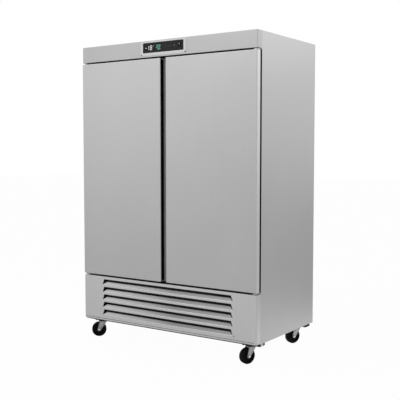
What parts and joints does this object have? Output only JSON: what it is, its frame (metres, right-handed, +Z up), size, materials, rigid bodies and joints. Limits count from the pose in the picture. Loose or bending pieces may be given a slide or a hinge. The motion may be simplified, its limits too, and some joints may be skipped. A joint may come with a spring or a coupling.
{
  "type": "reach-in freezer",
  "caption": "Upright stainless reach-in freezer with side-by-side solid doors, a louvred machine compartment below, a control panel above and swivel casters.",
  "frame": {"origin": "on the floor, under the middle of the cabinet's box", "axes": "+Z up, -Y out of the door fronts, +X to the right of someone facing the doors"},
  "size_m": [1.382, 0.764, 2.001],
  "materials": {
    "stainless": "satin",
    "bezel_plastic": "satin",
    "galvanised": "matte",
    "foam": "matte",
    "liner_sheet": "satin",
    "breaker_plastic": "matte",
    "black_plastic": "satin",
    "display_plastic": "gloss",
    "key_plastic": "satin",
    "door_plastic": "satin",
    "gasket_rubber": "matte",
    "zinc_steel": "satin",
    "black_steel": "satin",
    "wheel_rubber": "satin",
    "shelf_wire": "polished",
    "fin_aluminium": "satin",
    "fan_plastic": "satin",
    "copper": "satin",
    "lamp_plastic": "gloss"
  },
  "bodies": {
    "cabinet": {"air_filter": "black_plastic", "base_tray": "galvanised", "breaker_strips": "breaker_plastic", "caster_plates": "black_steel", "caster_rails": "black_steel", "centre_mullion": "bezel_plastic", "compressor": "black_steel", "condenser_coil": "fin_aluminium", "control_bezel": "bezel_plastic", "control_fascia": "black_plastic", "controller_body": "black_plastic", "display_window": "display_plastic", "drain_pan": "fan_plastic", "electrical_box": "black_plastic", "evaporator_coil": "fin_aluminium", "evaporator_cover": "liner_sheet", "fan_motors": "black_steel", "fan_shroud": "galvanised", "front_grille": "stainless", "header_panel": "stainless", "hinge_brackets": "zinc_steel", "inner_liner": "liner_sheet", "insulation": "foam", "interior_lamp": "lamp_plastic", "left_side_panel": "stainless", "rear_grille": "galvanised", "rear_panel": "galvanised", "refrigerant_lines": "copper", "right_side_panel": "stainless", "roof_panel": "galvanised", "shelf_clips": "zinc_steel", "shelf_pilasters": "zinc_steel", "wire_shelves": "shelf_wire"},
    "left_door": {"left_door_skin": "stainless", "left_door_core": "foam", "left_door_liner": "door_plastic", "left_door_gasket": "gasket_rubber", "left_grip_channel": "black_plastic", "left_hinge_bushes": "zinc_steel"},
    "right_door": {"right_door_skin": "stainless", "right_door_core": "foam", "right_door_liner": "door_plastic", "right_door_gasket": "gasket_rubber", "right_grip_channel": "black_plastic", "right_hinge_bushes": "zinc_steel"},
    "front_left_fork": {"caster_fork_front_left": "zinc_steel"},
    "front_left_wheel": {"caster_wheel_front_left": "wheel_rubber"},
    "front_right_fork": {"caster_fork_front_right": "zinc_steel"},
    "front_right_wheel": {"caster_wheel_front_right": "wheel_rubber"},
    "rear_left_fork": {"caster_fork_rear_left": "zinc_steel"},
    "rear_left_wheel": {"caster_wheel_rear_left": "wheel_rubber"},
    "rear_right_fork": {"caster_fork_rear_right": "zinc_steel"},
    "rear_right_wheel": {"caster_wheel_rear_right": "wheel_rubber"},
    "condenser_fan_rotor": {"condenser_fan": "fin_aluminium"},
    "left_cold_fan": {"evaporator_fan_left": "fan_plastic"},
    "right_cold_fan": {"evaporator_fan_right": "fan_plastic"},
    "key_1": {"control_key_1": "key_plastic"},
    "key_2": {"control_key_2": "key_plastic"},
    "key_3": {"control_key_3": "key_plastic"},
    "rocker": {"rocker_switch": "black_plastic"}
  },
  "joints": [
    {"name": "right_door_hinge", "type": "hinge", "parent": "cabinet", "child": "right_door", "pos_m": [0.671, -0.363, 1.169], "axis": [0, 0, 1], "range_deg": [0, 120], "stiffness_Nm_per_rad": 3, "springref_deg": -17.19},
    {"name": "left_door_hinge", "type": "hinge", "parent": "cabinet", "child": "left_door", "pos_m": [-0.671, -0.363, 1.169], "axis": [0, 0, -1], "range_deg": [0, 120], "stiffness_Nm_per_rad": 3, "springref_deg": -17.19},
    {"name": "front_left_swivel", "type": "hinge", "parent": "cabinet", "child": "front_left_fork", "pos_m": [-0.602, -0.292, 0.11], "axis": [0, 0, 1], "continuous": true},
    {"name": "front_left_roll", "type": "hinge", "parent": "front_left_fork", "child": "front_left_wheel", "pos_m": [-0.62206, -0.31007, 0.05], "axis": [0.6691, -0.7431, 0], "continuous": true},
    {"name": "front_right_swivel", "type": "hinge", "parent": "cabinet", "child": "front_right_fork", "pos_m": [0.602, -0.292, 0.11], "axis": [0, 0, 1], "continuous": true},
    {"name": "front_right_roll", "type": "hinge", "parent": "front_right_fork", "child": "front_right_wheel", "pos_m": [0.59059, -0.31647, 0.05], "axis": [0.9063, -0.4226, 0], "continuous": true},
    {"name": "rear_left_swivel", "type": "hinge", "parent": "cabinet", "child": "rear_left_fork", "pos_m": [-0.602, 0.308, 0.11], "axis": [0, 0, 1], "continuous": true},
    {"name": "rear_left_roll", "type": "hinge", "parent": "rear_left_fork", "child": "rear_left_wheel", "pos_m": [-0.61749, 0.28588, 0.05], "axis": [0.8192, -0.5736, 0], "continuous": true},
    {"name": "rear_right_swivel", "type": "hinge", "parent": "cabinet", "child": "rear_right_fork", "pos_m": [0.602, 0.308, 0.11], "axis": [0, 0, 1], "continuous": true},
    {"name": "rear_right_roll", "type": "hinge", "parent": "rear_right_fork", "child": "rear_right_wheel", "pos_m": [0.5885, 0.28462, 0.05], "axis": [0.866, -0.5, 0], "continuous": true},
    {"name": "condenser_fan_spin", "type": "hinge", "parent": "cabinet", "child": "condenser_fan_rotor", "pos_m": [-0.22, -0.183, 0.2652], "axis": [0, 1, 0], "continuous": true},
    {"name": "left_cold_fan_spin", "type": "hinge", "parent": "cabinet", "child": "left_cold_fan", "pos_m": [-0.21, 0.122, 1.853], "axis": [0, 1, 0], "continuous": true},
    {"name": "right_cold_fan_spin", "type": "hinge", "parent": "cabinet", "child": "right_cold_fan", "pos_m": [0.21, 0.122, 1.853], "axis": [0, 1, 0], "continuous": true},
    {"name": "key_1_press", "type": "slide", "parent": "cabinet", "child": "key_1", "axis": [0, 1, 0], "range_m": [0, 0.001], "stiffness_N_per_m": 400},
    {"name": "key_2_press", "type": "slide", "parent": "cabinet", "child": "key_2", "axis": [0, 1, 0], "range_m": [0, 0.001], "stiffness_N_per_m": 400},
    {"name": "key_3_press", "type": "slide", "parent": "cabinet", "child": "key_3", "axis": [0, 1, 0], "range_m": [0, 0.001], "stiffness_N_per_m": 400},
    {"name": "rocker_tip", "type": "hinge", "parent": "cabinet", "child": "rocker", "pos_m": [0.132, -0.3745, 1.956], "axis": [-1, 0, 0], "range_deg": [0, 10]}
  ]
}
